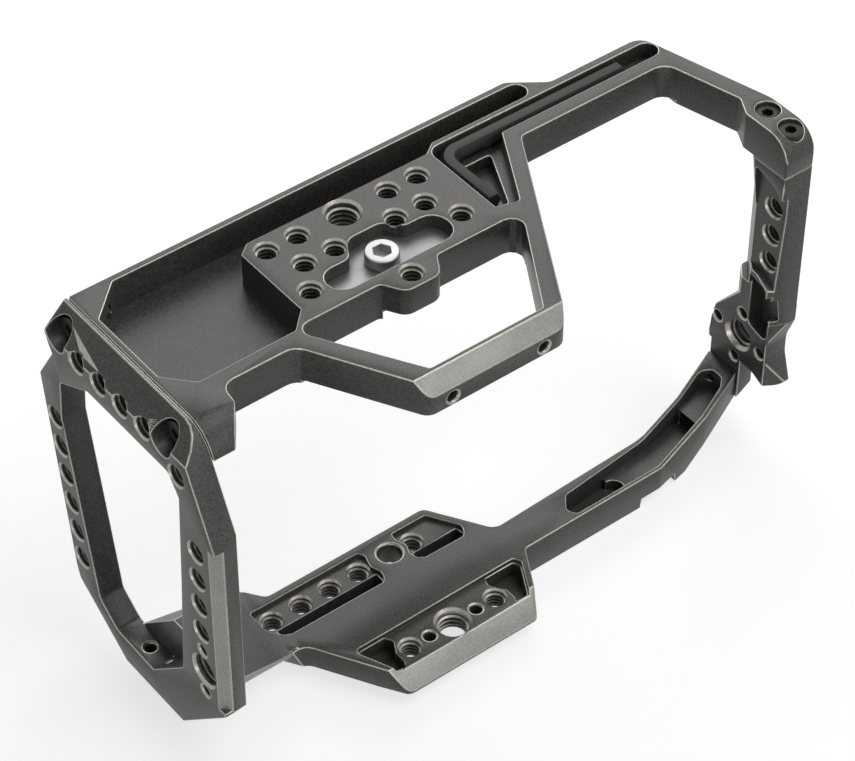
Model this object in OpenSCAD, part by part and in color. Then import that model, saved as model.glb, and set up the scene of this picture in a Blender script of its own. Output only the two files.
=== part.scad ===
// Camera cage: a base plate, a side frame that runs on into a top plate, and a grip post.
// It lies upside down here, with the base plate, which goes under a camera, uppermost.
// The origin is the centre of the large threaded hole, on the base plate's outer face.
// X runs towards the grip side, Y towards the back of the camera, Z up.

/* [Hole grid] */
// distance between neighbouring accessory holes, and the module of every outline
hole_pitch = 10; // [9:0.5:12]
// diameter of the small accessory holes at the thread crests
small_thread_d = 5.2; // [4.9:0.1:5.6]
// diameter of the large accessory holes at the thread crests
large_thread_d = 8; // [7.7:0.1:8.4]
// depth of the countersink at every hole's mouth
sink_depth = 1.05; // [0.6:0.05:1.2]

/* [Plates] */
// thickness of the base plate
base_t = 12.2; // [11.8:0.2:14]
// thickness of the side frame
frame_t = 7.8; // [7:0.2:9]
// thickness of the top plate
top_t = 8; // [7:0.2:9]
// distance between the base plate's outer face and the top plate's inner face
inner_drop = 105; // [98:0.5:106]
// depth of the recess beside the mounting block
recess_depth = 10.3; // [8:0.1:10.6]
// gap that shows as a dark line where two frame pieces meet
joint_gap = 0.2; // [0.1:0.05:0.3]

/* [Grip post] */
// width of the grip post, from its inner to its outer face
post_w = 10.5; // [10:0.1:11]
// depth of the shallow recess in the grip post's inner face
post_recess = 2; // [1:0.1:3]

/* [Mounting screw] */
// thread diameter of the mounting screw
screw_d = 6.35; // [6:0.05:6.4]
// diameter of the mounting screw's head
screw_head_d = 9.55; // [9:0.05:10]
// height of the mounting screw's head
screw_head_h = 3.5; // [3:0.1:3.6]
// how far the mounting screw stands out under the base plate
screw_reach = 5.5; // [4:0.5:8]

/* [Hex key] */
// width of the hex key across its flats
key_af = 4.76; // [4:0.02:4.8]
// length of the hex key's long leg
key_long = 66; // [50:1:70]
// length of the hex key's short leg
key_short = 25; // [20:1:25]

/* [Hidden] */
$fn = 48;

gunmetal = [0.33, 0.32, 0.3];
bright_steel = [0.72, 0.72, 0.74];
black_steel = [0.16, 0.16, 0.17];
magnet_grey = [0.55, 0.55, 0.57];
soft_black = [0.08, 0.08, 0.08];

// every outline below is written in shares of the hole pitch
u = hole_pitch;
// a length that reaches past any face, for cutting bodies
past = 0.1 * u;
reach = 2 * u;
far = 20 * u;

// heights below this share belong to the top plate's level, and are drawn for an inner drop of
// drop_share; they move by drop_more when the inner drop changes
low_share = -7;
drop_share = 10.5;
drop_more = inner_drop - drop_share * u;

// fits
plate_fit = 0.01 * u;
thread_fit = 0.01 * u;

// outlines, each point as [across, along, corner radius] in shares of the pitch
base_shares = [
  [-7.64, 1.68, 0.1], [6.89, 1.68, 0.4], [7.92, 0.92, 0.4], [11.23, 0.92, 0.5],
  [12.35, -3.4, 1.2], [12.35, -5.24, 0.06], [11.3, -5.24, 0.06], [11.3, -3.5, 0.15],
  [11.62, -2.9, 0.15], [10.98, -0.44, 0.45], [5.79, -0.44, 0.25], [2.17, -6.69, 0.4],
  [-2.27, -6.69, 0.4], [-4.1, -3.44, 0.5], [-6.38, -3.44, 0.4], [-6.42, -4.1, 0.2],
  [-7.02, -4.92, 0.15], [-7.64, -4.92, 0.02]];
recess_shares = [
  [-7.45, -2.22, 0.1], [-6.75, -3.0, 0.2], [-3.72, -2.96, 0.1], [-3.14, -2.4, 0.05],
  [-3.14, 0.26, 0.1], [-2.76, 0.55, 0.1], [3.26, 0.55, 0.1], [3.66, 0.84, 0.1],
  [7.2, 0.84, 0.31], [7.2, 1.47, 0.31], [-6.37, 1.47, 0.1], [-7.45, 0.47, 0.1]];
key_slot_shares = [
  [3.37, 0.66, 0.35], [11.32, 0.66, 0.32], [11.32, 0.02, 0.32], [5.46, 0.02, 0.1],
  [4.04, -2.52, 0.12], [3.37, -2.32, 0.08]];
key_well_shares = [
  [4.0, -0.05, 0.08], [5.02, -0.05, 0.08], [4.0, -2.2, 0.08]];
slot_shares = [
  [-2.02, -2.55, 0.5], [2.0, -2.55, 0.5], [2.0, -1.45, 0.5], [0.98, -1.45, 0.3],
  [0.55, -0.95, 0.45], [-0.58, -0.95, 0.45], [-0.95, -1.6, 0.3], [-2.02, -1.6, 0.45]];
window_shares = [
  [-3.8, -2.89, 0.3], [-0.95, -2.89, 0.2], [-0.56, -3.55, 0.42], [0.56, -3.55, 0.42],
  [0.95, -2.89, 0.2], [3.81, -2.89, 0.35], [1.84, -6.17, 0.12], [-1.85, -6.17, 0.12]];
// side frame, seen from the side as [along Y, up Z, radius]
frame_shares = [
  [1.67, 0, 0.02], [1.67, -0.55, 0.3], [1.52, -1.1, 0.25], [1.38, -1.32, 0.1], [2.15, -2.55, 0.2],
  [1.32, -9.3, 0.2], [1.2, -9.75, 0.2], [-0.94, -11.35, 0.1], [-3.7, -11.35, 0.1],
  [-5.84, -9.21, 0.15], [-5.84, -3.0, 0.3], [-4.48, 0, 1.0]];
frame_window_shares = [
  [1.12, -2.2, 0.15], [-0.27, -1.46, 0.15], [-3.9, -1.46, 0.2], [-4.34, -2.05, 0.2],
  [-4.16, -5.2, 0.5], [-3.9, -8.93, 0.2], [-2.3, -10.46, 0.05], [-0.55, -10.39, 0.3],
  [0.2, -9.8, 0.3], [1.25, -3.64, 0.3]];
// top plate, seen from above
top_shares = [
  [-7.72, -0.72, 0.02], [-4.95, -1.3, 0.3], [-4.39, -2.02, 0.3], [1.14, -2.0, 0.3],
  [2.32, -3.88, 0.4], [8.1, -3.66, 0.3], [9.7, -3.29, 0.3], [11.8, -2.57, 0.02],
  [11.8, -3.8, 0.02], [9.8, -4.49, 0.3], [7.64, -4.99, 0.3], [2.5, -5.03, 0.15],
  [1.62, -6.6, 0.1], [1.5, -6.82, 0.2], [-3.05, -6.82, 0.4], [-4.62, -4.16, 0.4],
  [-7.72, -4.16, 0.02]];
// the ramp that joins the top plate to the side frame, seen from above
ramp_shares = [
  [-7.72, -0.72, 0.02], [-4.95, -1.3, 0.3], [-4.5, -1.9, 0.2], [-4.5, -4.1, 0.02],
  [-5.1, -4.1, 0.02], [-5.1, -7, 0.02], [-7.72, -7, 0.02]];

// holes, as [across, along] in shares of the pitch
base_hole_shares = [[-2.5, 0], [-1.5, 0], [1.5, 0], [2.5, 0], [-2, -1], [-1, -1], [1, -1],
  [2, -1], [-2.5, -1.95], [2.5, -1.95], [0, -3.02]];

// sizes drawn from the outlines
base_left = -7.64 * u;
base_end_y = -4.92 * u;
frame_in = base_left - joint_gap;
frame_out = frame_in - frame_t;
top_in = -inner_drop;
top_out = top_in - top_t;
post_in = 11.3 * u;
post_out = post_in + post_w;
post_top = -base_t - joint_gap;
post_front = -5.24 * u;

small_r = small_thread_d / 2;
large_r = large_thread_d / 2;
pin_hole_r = 0.165 * u;
m3_tap_r = 0.125 * u;
m3_clear_r = 0.17 * u;
m4_tap_r = 0.165 * u;
m4_clear_r = 0.215 * u;
m5_tap_r = 0.21 * u;
m5_clear_r = 0.265 * u;
pin_sink = 0.045 * u;
large_sink = 1.45 * sink_depth;

// pins and pads
post_pin_y = -4.21 * u;
post_pin_r = 0.1 * u;
post_pin_len = 0.8 * u;
post_pin_foot = -1.65 * u;
arm_pin_x = 11.15 * u;
arm_pin_at = [-3.66 * u, -10.3 * u - drop_more];
arm_pin_r = 0.08 * u;
arm_pin_len = 0.65 * u;
pin_end = 0.03 * u;
// each pad as [left, front, length, width] in shares of the pitch
pad_shares = [[-6.4, -2.2, 2.6, 1.6], [3.5, 0.75, 3.4, 0.8]];
pad_proud = 0.05 * u;
pad_seat = 0.05 * u;

// helpers

function toward(a, b) = (b - a) / norm(b - a);

// points of one rounded corner, in order from the edge before it to the edge after it
function corner_arc(before, at, after, r, steps) =
  let (p = toward(at, before), q = toward(at, after), half = acos(p * q) / 2)
  let (mid = at + (p + q) / norm(p + q) * r / sin(half))
  let (a = at + p * r / tan(half) - mid, b = at + q * r / tan(half) - mid)
  let (start = atan2(a[1], a[0]), stop = atan2(b[1], b[0]))
  let (raw = stop - start, sweep = raw > 180 ? raw - 360 : raw < -180 ? raw + 360 : raw)
  [for (i = [0:steps]) mid + r * [cos(start + sweep * i / steps), sin(start + sweep * i / steps)]];

// a closed outline with its corners rounded, from points in shares of the pitch
function rounded(shares, steps = 4) =
  let (n = len(shares), at = [for (s = shares) [s[0], s[1]] * u])
  [for (i = [0:n - 1])
    each corner_arc(at[(i + n - 1) % n], at[i], at[(i + 1) % n], shares[i][2] * u, steps)];

// points in shares of the pitch as [along, up, radius], the low ones moved with the inner drop
function lowered(shares) =
  [for (s = shares) [s[0], s[1] < low_share ? s[1] - drop_more / u : s[1], s[2]]];

// a level slab, its outline seen from above
module slab(shares, top, thick) {
  translate([0, 0, top - thick])
    linear_extrude(thick)
      polygon(rounded(shares));
}

// an upright slab, its outline seen from the side as along Y and up Z
module side_slab(shares, left, thick) {
  translate([left, 0, 0])
    rotate([90, 0, 90])
      linear_extrude(thick)
        polygon(rounded(lowered(shares)));
}

// a block that takes away everything beyond a plane through a point
module cut_beyond(point, turn, lean) {
  translate(point)
    rotate([0, lean, turn])
      translate([0, -far / 2, -far / 2])
        cube([far, far, far]);
}

// a bore that runs down from its mouth, with a countersink there
module sunk_bore(r, depth, sink) {
  translate([0, 0, -depth])
    cylinder(r = r, h = depth + past);
  translate([0, 0, -sink])
    cylinder(r1 = r, r2 = r + sink, h = sink);
  cylinder(r = r + sink, h = past);
}

// the same bore driven into a face that looks towards -X, +X or -Y
module bore_from_left(at, r, depth, sink) {
  translate(at)
    rotate([0, -90, 0])
      sunk_bore(r, depth, sink);
}

module bore_from_front(at, r, depth, sink) {
  translate(at)
    rotate([90, 0, 0])
      sunk_bore(r, depth, sink);
}

// base plate

nose_front = -6.69 * u;
nose_bevel_run = 0.38 * u;
nose_bevel_drop = 0.5 * u;
// where the underside is thinner, each as [left, front, length, width, up to] in shares of the pitch
under_shares = [[-4.6, -7.2, 15.5, 3.6, -1.12], [5.9, -1, 5.2, 2.2, -1.12],
  [-0.9, -3.6, 1.8, 0.85, -0.89]];
nose_hole_x = 1.5 * u;
nose_hole_z = -0.84 * u;
nose_hole_deep = 0.45 * u;
end_lip = 0.85 * u;
lip_w = 1.29 * u;
lip_deep = 1.2 * u;
arm_end_round = 0.8 * u;
post_screw_x = 11.9 * u;
post_screw_ys = [-3.74 * u, -4.68 * u];
post_head_r = 0.36 * u;
post_head_h = 0.4 * u;
post_head_well = 0.5 * u;
post_screw_len = 1.9 * u;
cap_socket = 0.3 * u;
side_screw_ys = [1.17 * u, -3.66 * u];
side_screw_z = -0.6 * u;
side_head_r = 0.36 * u;
side_head_h = 0.2 * u;
side_head_well_r = 0.44 * u;
side_web = 0.12 * u;
side_screw_len = u;
side_bore_deep = 1.02 * u;
slot_floor = -0.43 * u;
slot_plate_t = 0.2 * u;
screw_at = [-0.05 * u, -1.8 * u];
screw_clear_r = screw_d / 2 + thread_fit;
key_top = -0.05 * u;
key_floor = key_top - key_af - plate_fit;
key_well_floor = -0.95 * u;
magnet_r = 0.25 * u;
magnet_h = 0.2 * u;
magnet_xs = [5.2 * u, 8.6 * u];
key_y = 0.37 * u;
key_x = 3.41 * u + key_af / 2;
lip_shares = [[6, 0, 0.1], [-4.48, 0, 1.0], [-4.92, -1.0, 0.02], [-4.92, -2.5, 0.02],
  [6, -2.5, 0.02]];

module base_plate() {
  color(gunmetal)
    difference() {
      slab(base_shares, 0, base_t);
      slab(recess_shares, past, recess_depth + past);
      slab(key_slot_shares, past, past - key_floor);
      slab(key_well_shares, past, past - key_well_floor);
      slab(slot_shares, past, past - slot_floor + slot_plate_t + plate_fit);
      slab(window_shares, past, base_t + 2 * past);
      for (s = base_hole_shares)
        translate([s[0] * u, s[1] * u, 0])
          sunk_bore(small_r, base_t + past, sink_depth);
      sunk_bore(large_r, base_t + past, large_sink);
      translate([screw_at[0], screw_at[1], -base_t - past])
        cylinder(r = screw_clear_r, h = base_t);
      base_edges();
      base_screw_bores();
    }
}

// bevels, rounded ends and the thinner underside of the nose and the arm
module base_edges() {
  translate([-far / 2, nose_front, -nose_bevel_drop])
    rotate([atan(nose_bevel_drop / nose_bevel_run), 0, 0])
      translate([0, -u, 0])
        cube([far, reach + u, reach]);
  for (s = under_shares)
    translate([s[0] * u, s[1] * u, -base_t - past])
      cube([s[2] * u, s[3] * u, base_t + past + s[4] * u]);
  difference() {
    translate([base_left - past, base_end_y - past, -base_t - past])
      cube([lip_w + past, lip_deep + past, base_t + 2 * past]);
    side_slab(lip_shares, base_left - 2 * past, reach);
  }
  translate([base_left - past, base_end_y - past, -base_t - past])
    cube([lip_w + past, lip_deep, base_t - end_lip + past]);
  difference() {
    translate([post_in - past, post_front - past, -arm_end_round])
      cube([post_w + 2 * past, arm_end_round + past, arm_end_round + past]);
    translate([post_in - 2 * past, post_front + arm_end_round, -arm_end_round])
      rotate([0, 90, 0])
        cylinder(r = arm_end_round, h = post_w + 4 * past);
  }
}

module base_screw_bores() {
  for (s = [-1, 1])
    bore_from_front([s * nose_hole_x, nose_front, nose_hole_z], m4_tap_r, nose_hole_deep, pin_sink);
  for (y = post_screw_ys)
    translate([post_screw_x, y, 0]) {
      translate([0, 0, -base_t - past])
        cylinder(r = m4_clear_r, h = base_t + past);
      translate([0, 0, -post_head_well])
        cylinder(r = post_head_r, h = post_head_well + past);
    }
  for (y = side_screw_ys)
    bore_from_left([base_left, y, side_screw_z], m5_tap_r, side_bore_deep, 0);
  for (x = magnet_xs)
    translate([x, key_y, key_floor - magnet_h])
      cylinder(r = magnet_r + plate_fit, h = magnet_h + past);
  for (s = pad_shares)
    translate([s[0] * u, s[1] * u, -base_t - past])
      cube([s[2] * u, s[3] * u, past + pad_seat]);
  pin_bodies(pin_end);
}

// side frame and top plate, machined as one piece

facet_flat = 0.1 * u;
facet_drop = 0.65 * u;
facet_run = frame_t - facet_flat;
front_bevel = 0.27 * u;
front_bevel_foot = -9.1 * u - drop_more;
front_bevel_len = 6.1 * u + drop_more;
frame_front = -5.84 * u;
inner_front = -5.72 * u;
inner_bevel_run = 0.52 * u;
column_lean = 7.3;
rear_column = [1.6 * u, -3.81 * u];
front_column_y = -4.95 * u;
front_column_z = -3.56 * u;
corner_hole = [-4.29 * u, -1.32 * u];
frame_large_z = -8.12 * u - drop_more;
frame_pin_offset = 0.81 * u;
frame_pin_deep = 0.45 * u;
// the two small holes low in the window, as [along Y, up Z, tilt in degrees]
lower_hole_shares = [[-1.62, -10.433, 0], [-2.49, -10.278, -43.7]];
lower_hole_deep = 0.42 * u;
rail_y = 0.17 * u;
rail_z = -0.77 * u;
plate_end = 2.6 * u;
arm_front = -6 * u;
arm_wide = 4 * u;
ramp_top = -8.8 * u - drop_more;
ramp_x = -5.3 * u;
ramp_r = 1.5 * u;
over_turn = 79;
under_y = -4.17 * u;
under_run = 0.51 * u;
under_end = -5.05 * u;
under_turn = 213;
under_lean = 19;
row_floor = 0.15 * u;
top_row = [-4.74 * u, -2.74 * u];
top_plain = [-0.66 * u, -2.8 * u];
plain_r = 0.35 * u;
top_single = [0.18 * u, -2.74 * u];
front_row = [-0.78 * u, -5.86 * u];
front_row_step = 1.5 * u;
front_pin_step = 0.82 * u;
front_pin_deep = 0.45 * u;
front_floor = 0.15 * u;
top_front = -6.82 * u;
front_bevel_drop = 0.55 * u;
front_bevel_run = 0.41 * u;
deep_floor = 0.65 * u;
row_pocket_shares = [
  [-5.16, -2.26, 0.12], [-1.4, -2.26, 0.06], [-1.3, -2.45, 0.08], [-1.42, -2.88, 0.25],
  [-1.3, -3.2, 0.15], [-1.36, -3.5, 0.15], [-4.8, -3.5, 0.1], [-5.16, -3.1, 0.3]];
row_groove_shares = [
  [-4.87, -3.14, 0.04], [-1.38, -3.12, 0.04], [-1.4, -3.58, 0.15], [-4.72, -3.56, 0.15]];
single_pocket_shares = [
  [-0.17, -2.25, 0.08], [1.04, -2.25, 0.08], [1.62, -3.2, 0.2], [1.5, -3.46, 0.1],
  [-0.12, -3.46, 0.1], [-0.2, -3.15, 0.15], [-0.07, -2.85, 0.2], [-0.2, -2.5, 0.1]];
single_groove_shares = [
  [-0.08, -3.12, 0.04], [1.5, -3.1, 0.04], [1.54, -3.4, 0.08], [1.4, -3.56, 0.1],
  [-0.02, -3.54, 0.15]];
front_pocket_shares = [
  [-3.68, -5.14, 0.12], [1.99, -5.12, 0.12], [2.08, -5.35, 0.08], [1.54, -6.36, 0.1],
  [1.54, -7.5, 0.1], [-2.8, -7.5, 0.1], [-2.8, -6.42, 0.1], [-3.15, -6.36, 0.12]];
left_deep_shares = [
  [-3.62, -5.17, 0.1], [-2.66, -5.17, 0.06], [-2.52, -5.4, 0.12], [-2.74, -5.8, 0.2],
  [-2.74, -6.2, 0.15], [-2.86, -6.34, 0.08], [-3.11, -6.32, 0.1]];
right_deep_shares = [
  [0.95, -5.15, 0.06], [0.88, -5.38, 0.1], [1.0, -5.6, 0.12], [1.18, -5.82, 0.2],
  [1.18, -6.2, 0.15], [1.1, -6.34, 0.04], [1.5, -6.34, 0.08], [2.04, -5.35, 0.08],
  [1.96, -5.15, 0.1]];
arm_pocket_shares = [
  [4.75, -4.12, 0.25], [8.05, -3.8, 0.3], [9.68, -3.44, 0.3], [10.8, -3.08, 0.3],
  [11.08, -3.3, 0.2], [11.06, -3.72, 0.2], [10.8, -3.96, 0.25], [9.78, -4.33, 0.3],
  [7.62, -4.85, 0.3], [4.55, -4.88, 0.2], [4.38, -4.6, 0.2]];
// the arm pocket's floor, which steps down twice, seen from the front as [along X, up Z]
arm_floor_shares = [
  [4.2, -11.3, 0.02], [6.3, -11.3, 0.02], [6.3, -10.95, 0.02], [9.6, -10.95, 0.02],
  [9.6, -10.42, 0.02], [11.3, -10.42, 0.02], [11.3, -8, 0.02], [4.2, -8, 0.02]];
// the round ends of the two deeper floors, as [along X, along Y, up Z]
arm_step_shares = [[6.3, -4.44, -11.3], [9.6, -3.9, -10.95]];
arm_step_r = 0.33 * u;
arm_step_h = 0.5 * u;
// how the arm lies in height, seen from the front as [along X, up Z]
arm_shares = [
  [2.0, -10.5, 0.02], [7.75, -10.5, 0.5], [9.8, -10.12, 0.5], [11.8, -9.61, 0.02],
  [11.8, -10.6, 0.02], [9.8, -11.25, 0.3], [8.9, -11.68, 0.3], [8.42, -11.68, 0.02],
  [8.38, -11.34, 0.02], [6.95, -11.36, 0.02], [6.9, -11.7, 0.02], [2.0, -11.66, 0.02]];

module front_slab(shares, front, deep) {
  translate([0, front + deep, 0])
    rotate([90, 0, 0])
      linear_extrude(deep)
        polygon(rounded(lowered(shares)));
}

module side_frame() {
  color(gunmetal) {
    difference() {
      side_slab(frame_shares, frame_out, frame_t);
      side_slab(frame_window_shares, frame_out - past, frame_t + 2 * past);
      frame_edges();
      frame_bores();
    }
    top_plate();
  }
}

// the slanted facet beside the base plate and the bevel down the front edge
module frame_edges() {
  translate([frame_out, 0, -facet_drop])
    rotate([0, -atan(facet_drop / facet_run), 0])
      translate([-reach, -far / 2, 0])
        cube([2 * reach, far, reach]);
  translate([frame_out, frame_front + front_bevel, front_bevel_foot])
    rotate([0, 0, -45])
      translate([-u, -reach, 0])
        cube([reach + u, reach, front_bevel_len]);
  translate([frame_in, inner_front, -far])
    rotate([0, 0, atan((inner_front - frame_front) / inner_bevel_run)])
      translate([-far / 2, -far, 0])
        cube([far, far, far]);
}

module frame_bores() {
  mouth = frame_out;
  deep = frame_t + past;
  for (i = [0:3])
    bore_from_left([mouth, rail_y - i * u, rail_z], small_r, deep, sink_depth);
  for (i = [0:5])
    bore_from_left([mouth, rear_column[0] - i * u * sin(column_lean),
      rear_column[1] - i * u * cos(column_lean)], small_r, deep, sink_depth);
  for (i = [0:3])
    bore_from_left([mouth, front_column_y, front_column_z - i * u], small_r, deep, sink_depth);
  bore_from_left([mouth, corner_hole[0], corner_hole[1]], small_r, deep, sink_depth);
  bore_from_left([mouth, front_column_y, frame_large_z], large_r, deep, large_sink);
  for (s = [-1, 1])
    bore_from_left([mouth, front_column_y, frame_large_z + s * frame_pin_offset],
      pin_hole_r, frame_pin_deep, pin_sink);
  for (s = lower_hole_shares)
    translate([frame_out + frame_t / 2, s[0] * u, s[1] * u - drop_more])
      rotate([s[2], 0, 0])
        sunk_bore(m4_tap_r, lower_hole_deep, pin_sink);
  for (y = side_screw_ys)
    translate([frame_out, y, side_screw_z])
      rotate([0, 90, 0]) {
        translate([0, 0, -past])
          cylinder(r = m5_clear_r, h = frame_t + 2 * past);
        translate([0, 0, -u])
          cylinder(r = side_head_well_r, h = frame_t - side_web + u);
      }
}

module top_plate() {
  difference() {
    union() {
      intersection() {
        slab(top_shares, top_in + reach, 2 * reach);
        top_profile();
      }
      ramp();
    }
    ramp_undercut();
    top_pockets();
    top_bores();
    // the arm's end face, a joint's width short of the post
    translate([flange_x - joint_gap, -far / 2, -far])
      cube([u, far, far]);
    pin_bodies(pin_end);
  }
}

// the plate and the arm in height
module top_profile() {
  translate([-far, -far / 2, top_out])
    cube([far + plate_end, far, top_t]);
  front_slab(arm_shares, arm_front, arm_wide);
}

// the foot that rises from the top plate to the side frame, blended into the plate
module ramp() {
  blend = corner_arc([ramp_x + u, top_in], [ramp_x, top_in], [frame_in - past, ramp_top], ramp_r, 6);
  foot = concat([[frame_in - past, top_out], [ramp_x + u, top_out], [ramp_x + u, top_in]],
    blend, [[frame_in - past, ramp_top]]);
  difference() {
    intersection() {
      rotate([90, 0, 0])
        linear_extrude(far)
          polygon(foot);
      slab(ramp_shares, 0, far);
    }
    cut_beyond([ramp_shares[0][0] * u, ramp_shares[0][1] * u, top_in], over_turn, -45);
  }
}

// the slant under the front of the ramp, and the one that leads it into the plate's side
module ramp_undercut() {
  translate([-far, under_y, top_in])
    rotate([atan(under_run / top_t), 0, 0])
      translate([0, -far, -far / 2])
        cube([far + under_end, far, far]);
  intersection() {
    cut_beyond([under_end, under_y, top_in], under_turn, under_lean);
    translate([under_end - plate_fit, -far / 2, -far])
      cube([far, far, far]);
  }
}

module top_pockets() {
  slab(row_pocket_shares, top_in + reach, reach + row_floor);
  slab(row_groove_shares, top_in + reach, reach + deep_floor);
  slab(single_pocket_shares, top_in + reach, reach + row_floor);
  slab(single_groove_shares, top_in + reach, reach + deep_floor);
  slab(front_pocket_shares, top_in + reach, reach + front_floor);
  slab(left_deep_shares, top_in + reach, reach + deep_floor);
  slab(right_deep_shares, top_in + reach, reach + deep_floor);
  intersection() {
    slab(arm_pocket_shares, top_in + reach, 2 * reach);
    front_slab(arm_floor_shares, arm_front, arm_wide);
  }
  for (s = arm_step_shares)
    translate([s[0] * u, s[1] * u, s[2] * u - drop_more])
      cylinder(r = arm_step_r, h = arm_step_h);
  translate([-far / 2, top_front, top_in - front_floor - front_bevel_drop])
    rotate([atan(front_bevel_drop / front_bevel_run), 0, 0])
      translate([0, -u, 0])
        cube([far, reach + u, reach]);
}

module top_bores() {
  floor_z = top_in - row_floor;
  for (i = [0:3])
    translate([top_row[0] + i * u, top_row[1], floor_z])
      sunk_bore(small_r, top_t, sink_depth);
  translate([top_plain[0], top_plain[1], top_in])
    sunk_bore(plain_r, top_t + past, pin_sink);
  translate([top_single[0], top_single[1], floor_z])
    sunk_bore(small_r, top_t, sink_depth);
  for (s = [-1, 1]) {
    translate([front_row[0] + s * front_row_step, front_row[1], top_in - front_floor])
      sunk_bore(small_r, top_t, sink_depth);
    translate([front_row[0] + s * front_pin_step, front_row[1], top_in - front_floor])
      sunk_bore(pin_hole_r, front_pin_deep, pin_sink);
  }
  translate([front_row[0], front_row[1], top_in - front_floor])
    sunk_bore(large_r, top_t, large_sink);
  translate([arm_tap_x, arm_screw_at[0], arm_screw_at[1]])
    rotate([0, 90, 0])
      cylinder(r = m3_tap_r, h = u);
}

// grip post

flange_x = post_in + post_recess;
column_foot = -7.1 * u;
column_shares = [
  [11.3, -5.24, 0.05], [12.35, -5.24, 0.05], [12.35, -3.3, 0.2], [11.85, -3.3, 0.2],
  [11.3, -3.95, 0.05]];
flange_shares = [
  [-5.24, -6.5, 0.02], [-5.24, -7.0, 0.2], [-4.96, -7.85, 0.8], [-4.96, -8.5, 0.8],
  [-5.3, -9.65, 0.1], [-4.5, -9.25, 0.3], [-2.6, -9.15, 0.05], [-2.57, -8.9, 0.1],
  [-2.75, -7.75, 0.4], [-4.0, -6.25, 0.4], [-4.2, -6.0, 0.05]];
post_hole_y = -4.72 * u;
post_hole_z = -2.73 * u;
post_hole_deep = u;
post_pin_deep = 0.5 * u;
post_tap_deep = 1.3 * u;
post_large = [-3.8 * u, -8.25 * u - drop_more];
post_pin_ring = 0.92 * u;
post_pin_turn = 6.5;
arch_shares = [
  [-5.4, -2.25, 0.3], [-4.85, -1.75, 0.4], [-4.05, -1.5, 0.1], [-4.05, -5.2, 0.05],
  [-4.5, -5.25, 0.2], [-5.4, -5.9, 0.05]];
well_shares = [
  [-4.15, -5.35, 0.15], [-4.15, -7.5, 0.2], [-4.95, -7.75, 0.2], [-4.95, -5.6, 0.3]];
well_share = 0.8;
strap_shares = [
  [-5.1, -6.0, 0.05], [-4.75, -6.25, 0.05], [-4.95, -6.9, 0.05], [-5.1, -6.9, 0.05]];
recess_foot = -5.9 * u;
foot_front = -3.98 * u;
foot_back = -2.7 * u;
foot_out = 12.06 * u;
foot_low = -10.75 * u - drop_more;
foot_h = 2.2 * u;
foot_bevel = [12.06 * u, -10.33 * u - drop_more];
foot_turn = 56;
// each slanting face as [X, Y, Z, turn, lean] and the foot and height of its stretch
post_facet_shares = [[11.3, -5.24, -1.24, 247, 3.1, -7.1, 7.1], [12.14, -5.24, -7.1, 247, 0, -12, 4.9],
  [11.3, -3.95, -1.24, 140, 5.9, -3, 3], [11.3, -4.25, -3, 140, 0, -6, 3]];
arm_screw_at = [-3.28 * u, -10.12 * u - drop_more];
arm_tap_x = 10.9 * u;
arm_head_r = 0.275 * u;
arm_head_h = 0.3 * u;
arm_screw_len = 0.5 * u;
arm_socket = 0.25 * u;
arm_seat_x = 11.65 * u;

module grip_post() {
  color(gunmetal)
    difference() {
      union() {
        slab(column_shares, post_top, post_top - column_foot);
        side_slab(flange_shares, flange_x, post_out - flange_x);
        translate([flange_x, foot_front, foot_low])
          cube([foot_out - flange_x, foot_back - foot_front, foot_h]);
      }
      post_facets();
      post_recesses();
      post_bores();
      pin_bodies(pin_end);
    }
}

// the slanting faces that narrow the post towards its foot
module post_facets() {
  for (c = post_facet_shares)
    intersection() {
      cut_beyond([c[0] * u, c[1] * u, c[2] * u], c[3], c[4]);
      translate([post_in - past, -far, c[5] * u])
        cube([2 * post_w, far, c[6] * u]);
    }
  // the foot's outer lower corner
  translate([foot_bevel[0], 0, foot_bevel[1]])
    rotate([0, foot_turn, 0])
      translate([0, -far / 2, -u])
        cube([reach, far, reach + u]);
}

module post_recesses() {
  side_slab(arch_shares, post_in - past, post_recess + past);
  translate([post_in - past, -far, -far])
    cube([post_recess + past, far, far + recess_foot]);
  side_slab(well_shares, post_in - past, well_share * post_w);
  side_slab(strap_shares, post_in - past, 2 * post_w);
}

module post_bores() {
  for (i = [0:2])
    bore_from_left([flange_x, post_hole_y, post_hole_z - i * u], small_r, post_hole_deep, sink_depth);
  bore_from_left([flange_x, post_large[0], post_large[1]], large_r, post_hole_deep, large_sink);
  for (a = [0:90:270])
    bore_from_left([flange_x, post_large[0] + post_pin_ring * cos(a + post_pin_turn),
      post_large[1] + post_pin_ring * sin(a + post_pin_turn)], pin_hole_r, post_pin_deep, pin_sink);
  for (y = post_screw_ys)
    translate([post_screw_x, y, post_top])
      sunk_bore(m4_tap_r, post_tap_deep, 0);
  translate([flange_x - past, arm_screw_at[0], arm_screw_at[1]])
    rotate([0, 90, 0]) {
      cylinder(r = m3_clear_r, h = u);
      translate([0, 0, arm_seat_x - flange_x + past])
        cylinder(r = arm_head_r + thread_fit, h = u);
    }
}

// the mounting screw and its plate

module slot_plate() {
  color(bright_steel)
    difference() {
      translate([0, 0, slot_floor - slot_plate_t])
        linear_extrude(slot_plate_t)
          polygon(rounded(slot_shares));
      translate([screw_at[0], screw_at[1], slot_floor - u])
        cylinder(r = screw_clear_r, h = 2 * u);
    }
}

socket_af = 0.476 * u;
socket_depth = 0.25 * u;
screw_neck_r = 0.26 * u;
screw_edge = 0.03 * u;

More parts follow.
